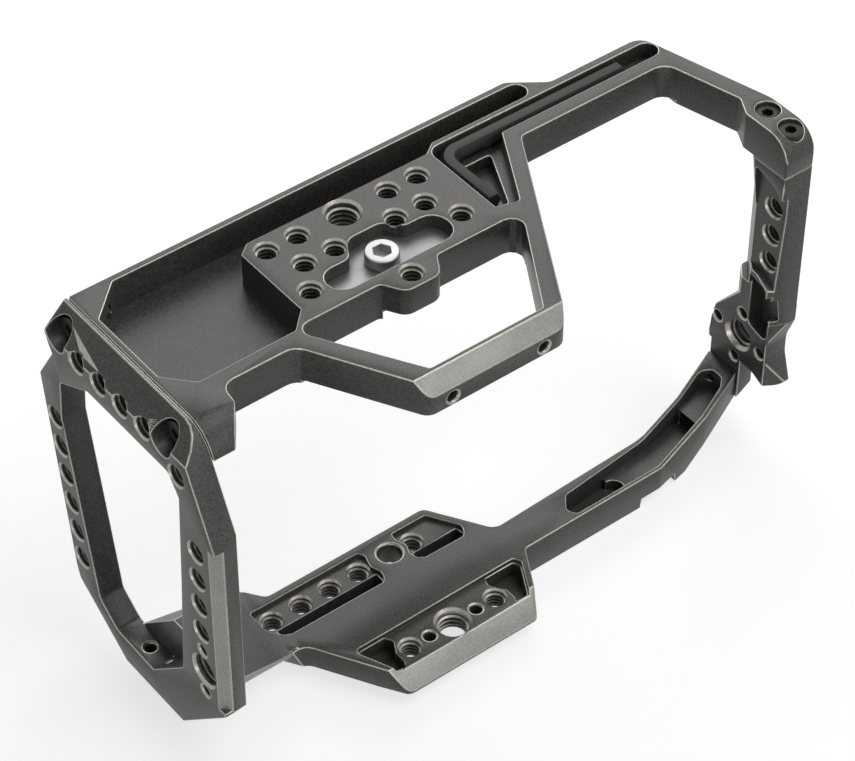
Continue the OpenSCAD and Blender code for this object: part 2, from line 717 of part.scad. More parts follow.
module mounting_screw() {
  color(bright_steel)
    translate([screw_at[0], screw_at[1], slot_floor + thread_fit])
      difference() {
        union() {
          cylinder(r = screw_head_d / 2, h = screw_head_h - screw_edge);
          translate([0, 0, screw_head_h - screw_edge])
            cylinder(r1 = screw_head_d / 2, r2 = screw_head_d / 2 - screw_edge, h = screw_edge);
          // a neck that the screw is kept by, and its threaded end under the base plate
          translate([0, 0, -base_t - slot_floor])
            cylinder(r = screw_neck_r, h = base_t + slot_floor + past);
          translate([0, 0, -base_t - slot_floor - screw_reach])
            cylinder(r = screw_d / 2, h = screw_reach);
        }
        translate([0, 0, screw_head_h - socket_depth])
          cylinder(r = socket_af / sqrt(3), h = u, $fn = 6);
      }
}

// the hex key and its magnets

key_bend = 0.5 * u;
// the bend is a hair thicker than the two legs, which run on into it
key_bend_r = key_af / sqrt(3) + 0.006 * u;
key_into = 0.04 * u;

// a length of hexagonal bar with its flats level
module hex_bar(length) {
  rotate([0, 90, 0])
    rotate([0, 0, 30])
      cylinder(r = key_af / sqrt(3), h = length, $fn = 6);
}

module hex_key() {
  color(black_steel)
    translate([key_x, key_y, key_top - key_af / 2]) {
      translate([key_bend - key_into, 0, 0])
        hex_bar(key_long - key_bend + key_into - key_af / 2);
      rotate([0, 0, -90])
        translate([key_bend - key_into, 0, 0])
          hex_bar(key_short - key_bend + key_into - key_af / 2);
      translate([key_bend, -key_bend, 0])
        rotate([0, 0, 90])
          rotate_extrude(angle = 90)
            translate([key_bend, 0])
              circle(r = key_bend_r, $fn = 6);
    }
}

module key_magnets() {
  color(magnet_grey)
    for (x = magnet_xs)
      translate([x, key_y, key_floor - magnet_h])
        cylinder(r = magnet_r, h = magnet_h);
}

// fasteners, pins and pads

// a socket head screw that points down from its head's seat
module cap_screw(r, length, head_r, head_h, socket) {
  difference() {
    union() {
      cylinder(r = head_r, h = head_h);
      translate([0, 0, -length])
        cylinder(r = r, h = length + head_h / 2);
    }
    translate([0, 0, head_h / 2])
      cylinder(r = socket / sqrt(3), h = head_h, $fn = 6);
  }
}

module side_screws() {
  color(black_steel)
    for (y = side_screw_ys)
      translate([frame_in - side_web, y, side_screw_z])
        rotate([0, -90, 0])
          cap_screw(m5_tap_r - thread_fit, side_screw_len, side_head_r, side_head_h, cap_socket);
}

module post_screws() {
  color(black_steel)
    for (y = post_screw_ys)
      translate([post_screw_x, y, -post_head_well])
        cap_screw(m4_tap_r - thread_fit, post_screw_len, post_head_r - thread_fit, post_head_h, cap_socket);
}

module arm_screw() {
  color(black_steel)
    translate([arm_seat_x, arm_screw_at[0], arm_screw_at[1]])
      rotate([0, 90, 0])
        cap_screw(m3_tap_r - thread_fit, arm_screw_len, arm_head_r, arm_head_h, arm_socket);
}

// the pins that keep the post square to the base plate and the arm square to the post
module pin_bodies(extra_end) {
  translate([post_screw_x, post_pin_y, post_pin_foot - extra_end])
    cylinder(r = post_pin_r, h = post_pin_len + 2 * extra_end);
  translate([arm_pin_x - extra_end, arm_pin_at[0], arm_pin_at[1]])
    rotate([0, 90, 0])
      cylinder(r = arm_pin_r, h = arm_pin_len + 2 * extra_end);
}

module locating_pins() {
  color(bright_steel)
    pin_bodies(0);
}

module camera_pads() {
  color(soft_black)
    for (s = pad_shares)
      translate([s[0] * u, s[1] * u, -base_t - pad_proud])
        cube([s[2] * u, s[3] * u, pad_proud + pad_seat]);
}

base_plate();
side_frame();
grip_post();
slot_plate();
mounting_screw();
hex_key();
key_magnets();
side_screws();
post_screws();
arm_screw();
locating_pins();
camera_pads();
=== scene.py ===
"""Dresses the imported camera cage: bevelled and threaded metal, procedural finishes, a pale stage and soft light."""
import math

import bmesh
import bpy
import numpy as np
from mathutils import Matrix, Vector


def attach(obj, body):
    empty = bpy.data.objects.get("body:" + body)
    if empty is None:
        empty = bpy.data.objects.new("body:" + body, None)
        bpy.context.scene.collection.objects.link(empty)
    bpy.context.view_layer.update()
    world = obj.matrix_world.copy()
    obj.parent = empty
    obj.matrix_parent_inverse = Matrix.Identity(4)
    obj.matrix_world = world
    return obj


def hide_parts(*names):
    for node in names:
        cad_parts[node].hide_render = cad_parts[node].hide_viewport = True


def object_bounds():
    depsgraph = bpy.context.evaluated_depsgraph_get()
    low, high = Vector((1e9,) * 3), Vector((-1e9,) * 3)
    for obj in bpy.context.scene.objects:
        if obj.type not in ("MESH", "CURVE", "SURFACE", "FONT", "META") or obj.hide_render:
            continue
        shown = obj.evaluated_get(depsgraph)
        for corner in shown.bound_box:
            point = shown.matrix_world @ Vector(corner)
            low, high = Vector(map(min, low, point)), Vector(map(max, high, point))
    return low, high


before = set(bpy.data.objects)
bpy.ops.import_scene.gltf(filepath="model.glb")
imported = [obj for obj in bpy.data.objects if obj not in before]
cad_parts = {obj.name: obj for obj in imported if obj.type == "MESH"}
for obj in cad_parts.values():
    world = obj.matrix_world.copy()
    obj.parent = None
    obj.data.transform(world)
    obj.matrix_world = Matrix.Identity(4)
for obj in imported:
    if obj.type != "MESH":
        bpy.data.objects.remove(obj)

bl_info = {
    "name": "Camera Cage Dressing",
    "version": (1, 0, 0),
    "blender": (4, 5, 0),
    "location": "3D View > Sidebar > Cage",
    "description": "Bevels, threads and finishes for a machined camera cage, with a stage to show it on",
    "category": "Object",
}

MM = 0.001
CAD_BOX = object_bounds()
AXES = {"X": Vector((1, 0, 0)), "Y": Vector((0, 1, 0)), "Z": Vector((0, 0, 1))}

# accessory holes, in mm: wall radius and width of the 45 degree countersink
SMALL_R = 2.6
SMALL_SINK = 1.05
LARGE_R = 4.0
LARGE_SINK = 1.5225
# outer faces that the holes open in, and where their threads end
BASE_TOP, BASE_END = 0, -12.2
FRAME_LEFT, FRAME_END = -84.4, -76.6
PLATE_TOP, PLATE_END = -106.5, -113
POST_LEFT, POST_RIGHT = 115, 123.5
HOLE_STEP = 10
# mounting screw, in mm: thread radius, and the span of its shank that is threaded
SHANK_R = 3.175
SHANK_TOP, SHANK_TIP = -12.2, -17.7

# shares of one turn of the thread, from its start: where a groove and a crest begin and end
HOLE_GROOVE, HOLE_CREST = (0, 0.45), (0.6, 0.85)
SHANK_GROOVE, SHANK_CREST = (0.1, 0.3), (0.6, 0.9)
# share of the countersink that stays as the chamfer of a threaded hole
MOUTH_SHARE = 0.4

# how near points have to lie to count as on a wall or a level, and how alike faces have to look
ON_WALL = 0.04 * MM
ON_LEVEL = 0.01 * MM
ON_SINK = 0.98
LOOKS_OUT = 0.5
LOOKS_ALONG = 0.9
SAME_WAY = 0.985
FLAT_TURN = math.radians(0.6)
SMOOTH_TURN = math.radians(24)
MERGE = 0.002 * MM

# soft boxes: name, way from the cage, width and height in metres, radiance
BOX_DISTANCE = 0.9
SOFT_BOXES = (
    ("front_box", (0.1, -0.95, 0.3), (0.5, 0.3), 1.7),
    ("right_box", (0.443, -0.693, 0.568), (0.5, 0.4), 0.9),
    ("back_box", (0.443, 0.568, 0.6935), (0.6, 0.6), 2.7),
    ("left_box", (-0.8, -0.6, 0.0), (0.4, 0.11), 7.5),
)
KEY_WAY = (0.3, -0.3, 0.9)
KEY_SPREAD = math.radians(36)
SENSOR_WIDTH = 36
NEAR_CLIP = 0.01
FLOOR_GAP = 0.2 * MM
FLOOR_SPECK = 3 * MM


# sizes and colours that a user would change


def length(name, description, default):
    return bpy.props.FloatProperty(
        name=name, description=description, default=default * MM, min=0, precision=5, unit="LENGTH")


def colour(name, description, default):
    return bpy.props.FloatVectorProperty(
        name=name, description=description, default=default, size=3, min=0, max=1, subtype="COLOR")


def strength(name, description, default):
    return bpy.props.FloatProperty(name=name, description=description, default=default, min=0)


class CageSizes(bpy.types.PropertyGroup):
    edge: length("Edge bevel", "Width of the bevel along the frame's outer edges", 0.3)
    small_edge: length("Fastener bevel", "Width of the bevel along the edges of the small pieces", 0.15)
    small_pitch: length("Small thread pitch", "Distance between neighbouring threads in the small holes", 1.27)
    large_pitch: length("Large thread pitch", "Distance between neighbouring threads in the large holes", 1.59)
    thread_depth: length("Thread depth", "How far the threads are cut into the wall of a hole", 0.65)
    grain: length("Grain", "Size of the blasted grain of the anodised metal", 0.5)
    sharp: bpy.props.FloatProperty(
        name="Sharp angle", description="Edges with a larger turn than this are bevelled",
        default=math.radians(28), subtype="ANGLE")


class CageColours(bpy.types.PropertyGroup):
    anodised: colour("Anodised metal", "Dark grey coat of the frame pieces", (0.075, 0.073, 0.067))
    # the colour below paints the wide chamfers pale, a painted highlight, and lightens the edge bands, which are edge
    # wear and a painted highlight
    worn: colour("Worn metal", "Paler metal of the wide chamfers", (0.3, 0.295, 0.275))
    # the colour below brightens the edges and hole mouths, partly as bare cut metal and partly as a painted
    # highlight; on the outward thread flanks it is a painted highlight
    cut: colour("Cut metal", "Bright metal of the edges, hole mouths and thread crests", (0.36, 0.348, 0.316))
    steel: colour("Bare steel", "Slot plate and pins", (0.27, 0.275, 0.284))
    screw: colour("Screw steel", "Mounting screw", (0.4, 0.403, 0.407))
    black_steel: colour("Black steel", "Small screws and the hex key", (0.026, 0.0257, 0.025))
    nickel: colour("Nickel", "Plated magnets", (0.6, 0.59, 0.57))
    pad: colour("Pad", "Rubber pads under the camera", (0.03, 0.03, 0.03))
    floor: colour("Floor", "Floor that the cage stands on", (0.93, 0.93, 0.93))


class CageStage(bpy.types.PropertyGroup):
    camera_at: bpy.props.FloatVectorProperty(
        name="Camera place", description="Where the camera stands", default=(-0.3692, -0.5103, 0.5436),
        subtype="TRANSLATION", unit="LENGTH")
    camera_turn: bpy.props.FloatVectorProperty(
        name="Camera turn", description="Which way the camera looks",
        default=[math.radians(a) for a in (46.094, -0.063, -37.892)], subtype="EULER")
    lens: strength("Lens", "Focal length in mm", 131.14)
    key_light: strength("Key light", "Strength of the broad light from above", 0.75)
    fill_light: strength("Fill light", "Strength of the light from all round", 0.06)
    floor_glow: strength("Floor glow", "How bright the floor looks where it is in shade", 0.78)
    floor_size: length("Floor size", "Width of the floor", 6000)


# shader maths and nodes


class Maths:
    """A number inside a shader. Sums with it are written as plain Python."""

    def __init__(self, finish, socket):
        self.finish = finish
        self.socket = socket

    def _with(self, operation, *values, clamp=False):
        """The result of a Math node."""
        made = self.finish.node("Math", operation=operation, use_clamp=clamp)
        for socket, value in zip(made.inputs, values):
            self.finish.feed(socket, value)
        return Maths(self.finish, made.outputs[0])

    def __add__(self, other):
        return self._with("ADD", self, other)

    def __sub__(self, other):
        return self._with("SUBTRACT", self, other)

    def __rsub__(self, other):
        return self._with("SUBTRACT", other, self)

    def __mul__(self, other):
        return self._with("MULTIPLY", self, other)

    __radd__ = __add__
    __rmul__ = __mul__

    def clamped(self):
        return self._with("ADD", self, 0.0, clamp=True)

    def most(self, other):
        return self._with("MAXIMUM", self, other)

    def step(self, low, high):
        """0 below low, 1 above high, and a smooth rise between them."""
        made = self.finish.node("MapRange", interpolation_type="SMOOTHSTEP")
        for name, value in (("Value", self), ("From Min", low), ("From Max", high)):
            self.finish.feed(made.inputs[name], value)
        return Maths(self.finish, made.outputs["Result"])


class Finish:
    """A material, or the world, that is being built from nodes."""

    def __init__(self, owner):
        self.owner = owner
        owner.use_nodes = True
        self.tree = owner.node_tree
        self.tree.nodes.clear()

    def feed(self, socket, value):
        if isinstance(value, Maths):
            value = value.socket
        if isinstance(value, bpy.types.NodeSocket):
            self.tree.links.new(value, socket)
        elif socket.type == "RGBA":
            socket.default_value = (*value[:3], 1)
        else:
            socket.default_value = value

    def node(self, kind, inputs=None, **settings):
        """Adds a node of one kind, with its settings first and then the values or links of its inputs."""
        made = self.tree.nodes.new("ShaderNode" + kind)
        for name, value in settings.items():
            setattr(made, name, value)
        for name, value in (inputs or {}).items():
            self.feed(made.inputs[name], value)
        return made

    def place(self):
        return self.node("TexCoord").outputs["Object"]

    def noise(self, size, detail=2.0, roughness=0.5, at=None):
        made = self.node("TexNoise", {
            "Vector": at or self.place(), "Scale": 1 / size, "Detail": detail, "Roughness": roughness})
        return Maths(self, made.outputs["Fac"])

    def mix(self, share, first, second):
        made = self.node("Mix", data_type="RGBA")
        for index, value in ((0, share), (6, first), (7, second)):
            self.feed(made.inputs[index], value)
        return made.outputs[2]

    def bump(self, height, strength, distance):
        made = self.node("Bump", {"Height": height, "Strength": strength, "Distance": distance})
        return made.outputs["Normal"]

    def edge(self, width, gain):
        """1 along the edges and 0 on the faces."""
        soft = self.node("Bevel", {"Radius": width}, samples=6).outputs["Normal"]
        flat = self.node("NewGeometry").outputs["Normal"]
        dot = self.node("VectorMath", operation="DOT_PRODUCT")
        self.feed(dot.inputs[0], soft)
        self.feed(dot.inputs[1], flat)
        return ((1 - Maths(self, dot.outputs["Value"])) * gain).clamped()

    def coat(self, **sockets):
        """Ends the material with one Principled shader; sockets are named with _ for a space."""
        shader = self.node("BsdfPrincipled", {name.replace("_", " "): value for name, value in sockets.items()})
        return self.out(shader.outputs["BSDF"])

    def out(self, shader):
        kind = "OutputWorld" if isinstance(self.owner, bpy.types.World) else "OutputMaterial"
        self.node(kind, {"Surface": shader})
        return self.owner

    def seen(self):
        """1 for the camera and for what metal and glass show, 0 for the light that bounces about."""
        path = self.node("LightPath").outputs
        share = Maths(self, path["Is Camera Ray"])
        for name in ("Is Glossy Ray", "Is Transmission Ray"):
            share = share.most(Maths(self, path[name]))
        return share


def tint(base, factor):
    """A lighter or darker shade of a colour."""
    return [min(1, c * factor) for c in base]


def anodised_metal():
    """Dark coat with a fine blasted grain, faint clouds in its tone, and a paler patchy band along its edges: edge
    wear and a painted highlight.
    """
    sizes, colours = bpy.context.scene.cage_sizes, bpy.context.scene.cage_colours
    f = Finish(bpy.data.materials.new("anodised_metal"))
    grain = f.noise(sizes.grain, detail=3, roughness=0.62)
    cloud = f.noise(sizes.grain * 60, detail=3)
    # paler colour along the edges: partly edge wear, partly a painted highlight
    edge_wear_and_highlight = f.edge(sizes.edge * 1.6, 4.0) * f.noise(sizes.grain * 9, detail=4).step(0.25, 0.7)
    tone = (grain * 0.85 + cloud * 0.15).step(0.36, 0.64)
    coat = f.mix(tone, tint(colours.anodised, 0.55), tint(colours.anodised, 1.45))
    return f.coat(
        Base_Color=f.mix(edge_wear_and_highlight * 0.25, coat, colours.worn),
        Roughness=0.39 + (grain - 0.5) * 0.5 + (cloud - 0.5) * 0.06,
        Metallic=0.22,
        Specular_IOR_Level=0.32,
        Normal=f.bump(grain, 0.4, 0.00008))


def painted_highlight_chamfer():
    """Pale colour of the wide chamfers, faintly patchy: a painted highlight where they catch the light."""
    sizes, colours = bpy.context.scene.cage_sizes, bpy.context.scene.cage_colours
    f = Finish(bpy.data.materials.new("painted_highlight_chamfer"))
    grain = f.noise(sizes.grain, detail=3, roughness=0.62)
    patch = f.noise(sizes.grain * 20, detail=3)
    tone = (grain * 0.7 + patch * 0.3).step(0.34, 0.66)
    return f.coat(
        # pale chamfer colour: a painted highlight
        Base_Color=f.mix(tone, tint(colours.worn, 0.78), tint(colours.worn, 1.12)),
        Roughness=0.4 + (grain - 0.5) * 0.3,
        Metallic=0.6,
        Normal=f.bump(grain, 0.25, 0.00005))


def cut_metal_and_highlight():
    """Bright metal of the narrow edges, the hole mouths and the thread crests: partly bare metal cut after the coat
    went on, partly a painted highlight, which is all it is on the thread flanks that look out of the holes.
    """
    sizes, colours = bpy.context.scene.cage_sizes, bpy.context.scene.cage_colours
    f = Finish(bpy.data.materials.new("cut_metal_and_highlight"))
    grain = f.noise(sizes.grain, detail=3, roughness=0.62)
    return f.coat(
        Base_Color=f.mix(grain.step(0.34, 0.66), tint(colours.cut, 0.8), tint(colours.cut, 1.12)),
        Roughness=0.32 + (grain - 0.5) * 0.2,
        Metallic=0.85,
        Normal=f.bump(grain, 0.12, 0.00004))


def brushed_steel():
    """Bare steel of the slot plate, with short grinding lines and a faint blue cast."""
    return bare_metal("brushed_steel", bpy.context.scene.cage_colours.steel, 0.48)


def turned_steel():
    """Brighter steel of the mounting screw."""
    return bare_metal("turned_steel", bpy.context.scene.cage_colours.screw, 0.4)


def bare_metal(name, base, roughness):
    """Steel with fine lines along X."""
    sizes = bpy.context.scene.cage_sizes
    f = Finish(bpy.data.materials.new(name))
    stretched = f.node("Mapping", {"Vector": f.place(), "Scale": (1, 9, 3)}).outputs["Vector"]
    lines = f.noise(sizes.grain * 2.2, detail=4, roughness=0.6, at=stretched)
    cloud = f.noise(sizes.grain * 22, detail=2)
    return f.coat(
        Base_Color=f.mix((lines * 0.6 + cloud * 0.4).step(0.3, 0.7), tint(base, 0.84), tint(base, 1.12)),
        Roughness=roughness + (lines - 0.5) * 0.3,
        Metallic=0.8,
        Normal=f.bump(lines, 0.12, 0.00004))


def blackened_steel():
    """Blackened steel: nearly smooth, with paler edges that are wear and a painted highlight, and a few grey scuffs.
    """
    sizes, colours = bpy.context.scene.cage_sizes, bpy.context.scene.cage_colours
    f = Finish(bpy.data.materials.new("blackened_steel"))
    grain = f.noise(sizes.grain * 0.8, detail=3)
    scuff = f.noise(sizes.grain * 7, detail=5, roughness=0.65).step(0.52, 0.75)
    # paler colour along the edges: partly edge wear, partly a painted highlight
    edge_wear_and_highlight = f.edge(sizes.small_edge * 2, 4.0)
    coat = f.mix(grain, tint(colours.black_steel, 0.75), tint(colours.black_steel, 1.3))
    return f.coat(
        Base_Color=f.mix((edge_wear_and_highlight * 0.3 + scuff * 0.06).clamped(), coat, colours.worn),
        Roughness=0.45 + (grain - 0.5) * 0.2 + scuff * 0.1,
        Metallic=0.15,
        Specular_IOR_Level=0.25,
        Normal=f.bump(grain, 0.1, 0.00004))


def plated_nickel():
    """Bright plating of the magnets."""
    sizes, colours = bpy.context.scene.cage_sizes, bpy.context.scene.cage_colours
    f = Finish(bpy.data.materials.new("plated_nickel"))
    cloud = f.noise(sizes.grain * 5, detail=3)
    return f.coat(
        Base_Color=f.mix(cloud, tint(colours.nickel, 0.9), tint(colours.nickel, 1.08)),
        Roughness=0.18 + cloud * 0.12,
        Metallic=1.0)


def pad_rubber():
    """Dark rubber with a little dust on it."""
    sizes, colours = bpy.context.scene.cage_sizes, bpy.context.scene.cage_colours
    f = Finish(bpy.data.materials.new("pad_rubber"))
    grain = f.noise(sizes.grain * 1.5, detail=4, roughness=0.7)
    dust = f.noise(sizes.grain * 14, detail=3).step(0.5, 0.8)
    return f.coat(
        Base_Color=f.mix((grain * 0.5 + dust * 0.4).clamped(), colours.pad, tint(colours.pad, 2.4)),
        Roughness=0.78 + (grain - 0.5) * 0.2,
        Normal=f.bump(grain, 0.35, 0.0001))


def material(make):
    """The material that a function makes, made once."""
    return bpy.data.materials.get(make.__name__) or make()


# shaping


def pick(piece):
    """Makes one piece the only one that operators act on."""
    bpy.ops.object.select_all(action="DESELECT")
    piece.select_set(True)
    bpy.context.view_layer.objects.active = piece


def machined_copy(node, name, bevel, finishes, keep_sharp=()):
    """A copy of a CAD node with its triangles merged, its outer edges bevelled and its finishes on it.

    keep_sharp lists bores as (axis, centre, radius); the rims that lie on such a bore get no bevel.
    """
    pick(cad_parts[node])
    bpy.ops.object.duplicate()
    piece = bpy.context.active_object
    piece.parent = None
    piece.name = piece.data.name = name
    for key in list(piece.keys()):
        if key.startswith("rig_"):
            del piece[key]
    piece.data.materials.clear()
    for make in finishes:
        piece.data.materials.append(material(make))
    bpy.ops.object.mode_set(mode="EDIT")
    bpy.ops.mesh.select_all(action="SELECT")
    bpy.ops.mesh.customdata_custom_splitnormals_clear()
    bpy.ops.mesh.remove_doubles(threshold=MERGE)
    bpy.ops.mesh.dissolve_limited(angle_limit=FLAT_TURN, use_dissolve_boundaries=False)
    bpy.ops.mesh.select_mode(type="FACE")
    bpy.ops.mesh.select_all(action="DESELECT")
    bpy.ops.mesh.select_face_by_sides(number=4, type="GREATER")
    bpy.ops.mesh.quads_convert_to_tris(ngon_method="BEAUTY")
    bpy.ops.object.mode_set(mode="OBJECT")
    weigh_edges(piece, keep_sharp)
    made = piece.modifiers.new("edge bevel", "BEVEL")
    made.limit_method = "WEIGHT"
    made.width = bevel
    made.segments = 2
    made.use_clamp_overlap = False
    # the bevel strips take the last finish; on the frame pieces that is the bright cut metal, partly bare metal and
    # partly a painted highlight
    made.material = len(finishes) - 1
    made.miter_outer = "MITER_SHARP"
    made.loop_slide = False
    bpy.ops.object.modifier_apply(modifier=made.name)
    return piece


def weigh_edges(piece, keep_sharp):
    """Marks the convex sharp edges, apart from those on the rims of the bores that get threads."""
    mesh = bmesh.new()
    mesh.from_mesh(piece.data)
    weight = mesh.edges.layers.float.new("bevel_weight_edge")
    sharp = bpy.context.scene.cage_sizes.sharp
    co = np.array([v.co for v in mesh.verts])
    on_bore = np.zeros(len(co), int) - 1
    for index, (axis, centre, radius) in enumerate(keep_sharp):
        on_bore[np.abs(off_axis(co, axis, centre) - radius) < ON_WALL] = index
    for edge in mesh.edges:
        if len(edge.link_faces) != 2 or not edge.is_convex:
            continue
        ends = [on_bore[v.index] for v in edge.verts]
        if edge.calc_face_angle(0) > sharp and (ends[0] < 0 or ends[0] != ends[1]):
            edge[weight] = 1
    mesh.to_mesh(piece.data)
    mesh.free()


def off_axis(co, axis, centre):
    """Distance of each point from a line along an axis."""
    across = [i for i in range(3) if i != "XYZ".index(axis)]
    return np.hypot(*(co[:, i] - centre[i] for i in across))


class Bores:
    """Like holes along one axis, or a like shank: its places, face, end and countersink in mm, and its pitch."""

    def __init__(self, axis, places, radius, face, end, pitch, sink=0.0, plain_mouth=False):
        self.axis = axis
        self.centres = [Vector(at) * MM for at in places]
        self.radius = radius * MM
        self.sink = sink * MM
        self.way = math.copysign(1, end - face)
        self.face = face * MM
        self.end = end * MM
        self.pitch = pitch
        self.plain_mouth = plain_mouth

    def circles(self, out=0.0):
        """Each bore as an axis, a centre and a radius, made wider by a width."""
        return [(self.axis, centre, self.radius + out) for centre in self.centres]

    def slant(self, normals):
        """How far each face looks out of the holes."""
        return normals[:, "XYZ".index(self.axis)] * -self.way

    def faces(self, mesh, width=0.0):
        """For each face, whether all of its corners lie on one bore's wall, or within a width outside it."""
        co = read_points(mesh)
        starts = np.empty(len(mesh.polygons), np.int32)
        mesh.polygons.foreach_get("loop_start", starts)
        corners = np.empty(len(mesh.loops), np.int32)
        mesh.loops.foreach_get("vertex_index", corners)
        found = np.zeros(len(starts), bool)
        for circle in self.circles():
            away = off_axis(co, *circle[:2]) - self.radius
            near = (away > -ON_WALL) & (away < width + ON_WALL)
            found |= np.logical_and.reduceat(near[corners], starts)
        return found

    def shine_sinks(self, piece):
        """Gives the slanting faces of the countersinks the last finish, the bright cut metal, whose brightness is
        partly bare metal and partly a painted highlight.
        """
        centres, normals = face_data(piece.data, "center"), face_data(piece.data, "normal")
        slant = np.abs(self.slant(normals))
        found = np.zeros(len(slant), bool)
        for circle in self.circles():
            away = off_axis(centres, *circle[:2])
            found |= (away > self.radius * ON_SINK) & (away < self.radius + self.sink)
        found &= (slant > LOOKS_OUT) & (slant < LOOKS_ALONG)
        give_slot(piece, found, len(piece.data.materials) - 1)

    def cut_mouths(self, piece):
        """Cuts the countersinks short, so that only a narrow chamfer is left above the first thread."""
        level = self.face + self.way * self.sink * MOUTH_SHARE
        if not self.plain_mouth:
            slice_faces(piece, self.faces(piece.data, self.sink), self.axis, level)

    def cut_threads(self, piece, depth, groove=HOLE_GROOVE, crest=HOLE_CREST):
        """Cuts a ring into the walls for each turn of the thread, outwards in a hole and inwards on a shank."""
        mouth = self.face + self.way * self.sink
        step = self.way * self.pitch
        turns = int((self.end - mouth) / step)
        grooves = [mouth + step * (i + share) for i in range(turns) for share in groove]
        crests = [mouth + step * (i + share) for i in range(turns) for share in crest]
        for level in grooves + crests:
            slice_faces(piece, self.faces(piece.data), self.axis, level)
        self.push_out(piece.data, grooves, depth)
        # in a hole, the thread flanks that look out of it get the bright last finish, a painted highlight; a shank
        # gets none
        if depth > 0:
            outward = self.slant(face_data(piece.data, "normal")) > LOOKS_OUT
            give_slot(piece, self.faces(piece.data, depth) & outward, len(piece.data.materials) - 1)

    def push_out(self, mesh, levels, depth):
        """Moves the points of the walls that lie at some levels outwards, or inwards for a negative depth."""
        along = "XYZ".index(self.axis)
        co = read_points(mesh)
        moved = co.copy()
        at_level = np.min([np.abs(co[:, along] - level) for level in levels], axis=0) < ON_LEVEL
        for centre in self.centres:
            away = off_axis(co, self.axis, centre)
            ring = at_level & (np.abs(away - self.radius) < ON_WALL)
            for i in {0, 1, 2} - {along}:
                moved[ring, i] = centre[i] + (co[ring, i] - centre[i]) * ((self.radius + depth) / away[ring])
        mesh.vertices.foreach_set("co", moved.ravel())
        mesh.update()


def frame_piece(node, sizes, groups, chamfers=()):
    """One of the anodised pieces, with its holes threaded. chamfers are (way, low corner, high corner) in mm."""
    keep_sharp = sum([bores.circles() for bores in groups], [])
    keep_sharp += sum([bores.circles(bores.sink) for bores in groups], [])
    piece = machined_copy(node, node + "_metal", sizes.edge, (anodised_metal, painted_highlight_chamfer, cut_metal_and_highlight), keep_sharp)
    pick(piece)
    for bores in groups:
        bores.shine_sinks(piece)
    for bores in groups:
        bores.cut_mouths(piece)
    # the wide chamfers get the pale second finish, a painted highlight
    for chamfer in chamfers:
        shine_facing(piece, *chamfer)
    for bores in groups:
        bores.cut_threads(piece, sizes.thread_depth)
    settle(piece, "cage", "anodised", node)


def shine_facing(piece, way, low, high):
    """Gives the faces that look one way, inside a box, the second finish, whose pale colour is a painted highlight.
    """
    centres, normals = face_data(piece.data, "center"), face_data(piece.data, "normal")
    inside = np.all((centres >= np.array(low) * MM) & (centres <= np.array(high) * MM), axis=1)
    give_slot(piece, inside & (normals @ np.array(Vector(way).normalized()) > SAME_WAY), 1)


def read_points(mesh):
    co = np.empty(len(mesh.vertices) * 3, np.float32)
    mesh.vertices.foreach_get("co", co)
    return co.reshape(-1, 3)


def face_data(mesh, name):
    """The centre or the normal of each face."""
    data = np.empty(len(mesh.polygons) * 3, np.float32)
    mesh.polygons.foreach_get(name, data)
    return data.reshape(-1, 3)


def give_slot(piece, found, slot):
    """Gives the found faces one of the piece's finishes."""
    if not found.any():
        raise RuntimeError(piece.name + " has no face where a finish should go")
    slots = np.empty(len(piece.data.polygons), np.int32)
    piece.data.polygons.foreach_get("material_index", slots)
    slots[found] = slot
    piece.data.polygons.foreach_set("material_index", slots)
    piece.data.update()


def slice_faces(piece, found, axis, level):
    """Cuts the found faces along a level across an axis."""
    if not found.any():
        raise RuntimeError(piece.name + " has no wall where a thread should go")
    mesh = piece.data
    bpy.ops.object.mode_set(mode="EDIT")
    bpy.ops.mesh.select_all(action="DESELECT")
    bpy.ops.object.mode_set(mode="OBJECT")
    mesh.polygons.foreach_set("select", found)
    bpy.ops.object.mode_set(mode="EDIT")
    bpy.ops.mesh.select_mode(type="FACE")
    bpy.ops.mesh.bisect(plane_co=AXES[axis] * level, plane_no=AXES[axis])
    bpy.ops.object.mode_set(mode="OBJECT")


def settle(piece, body, slot, *nodes):
    """Smooths a finished piece, sets it on its body and lets it stand for its CAD nodes."""
    pick(piece)
    bpy.ops.object.shade_smooth_by_angle(angle=SMOOTH_TURN)
    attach(piece, body)
    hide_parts(*nodes)


# operators, one for each piece or group of like pieces


class CageOperator:
    bl_options = {"REGISTER", "UNDO"}

    def execute(self, context):
        self.build(context.scene.cage_sizes)
        return {"FINISHED"}


class CAGE_OT_base_plate(CageOperator, bpy.types.Operator):
    """Bevels the base plate and cuts the threads of its accessory holes"""

    bl_idname = "cage.base_plate"
    bl_label = "Base Plate"

    def build(self, sizes):
        grid = [(-25, 0), (-15, 0), (15, 0), (25, 0), (-20, -10), (-10, -10), (10, -10), (20, -10), (-25, -19.5),
                (25, -19.5), (0, -30.2)]
        small = Bores("Z", [(x, y, 0) for x, y in grid], SMALL_R, BASE_TOP, BASE_END, sizes.small_pitch, SMALL_SINK)
        large = Bores("Z", [(0, 0, 0)], LARGE_R, BASE_TOP, BASE_END, sizes.large_pitch, LARGE_SINK)
        # the nose chamfer is painted pale, a painted highlight
        nose = ((0, -0.8, 0.61), (-30, -68, -7), (30, -60, 0))
        frame_piece("base_plate", sizes, (small, large), (nose,))


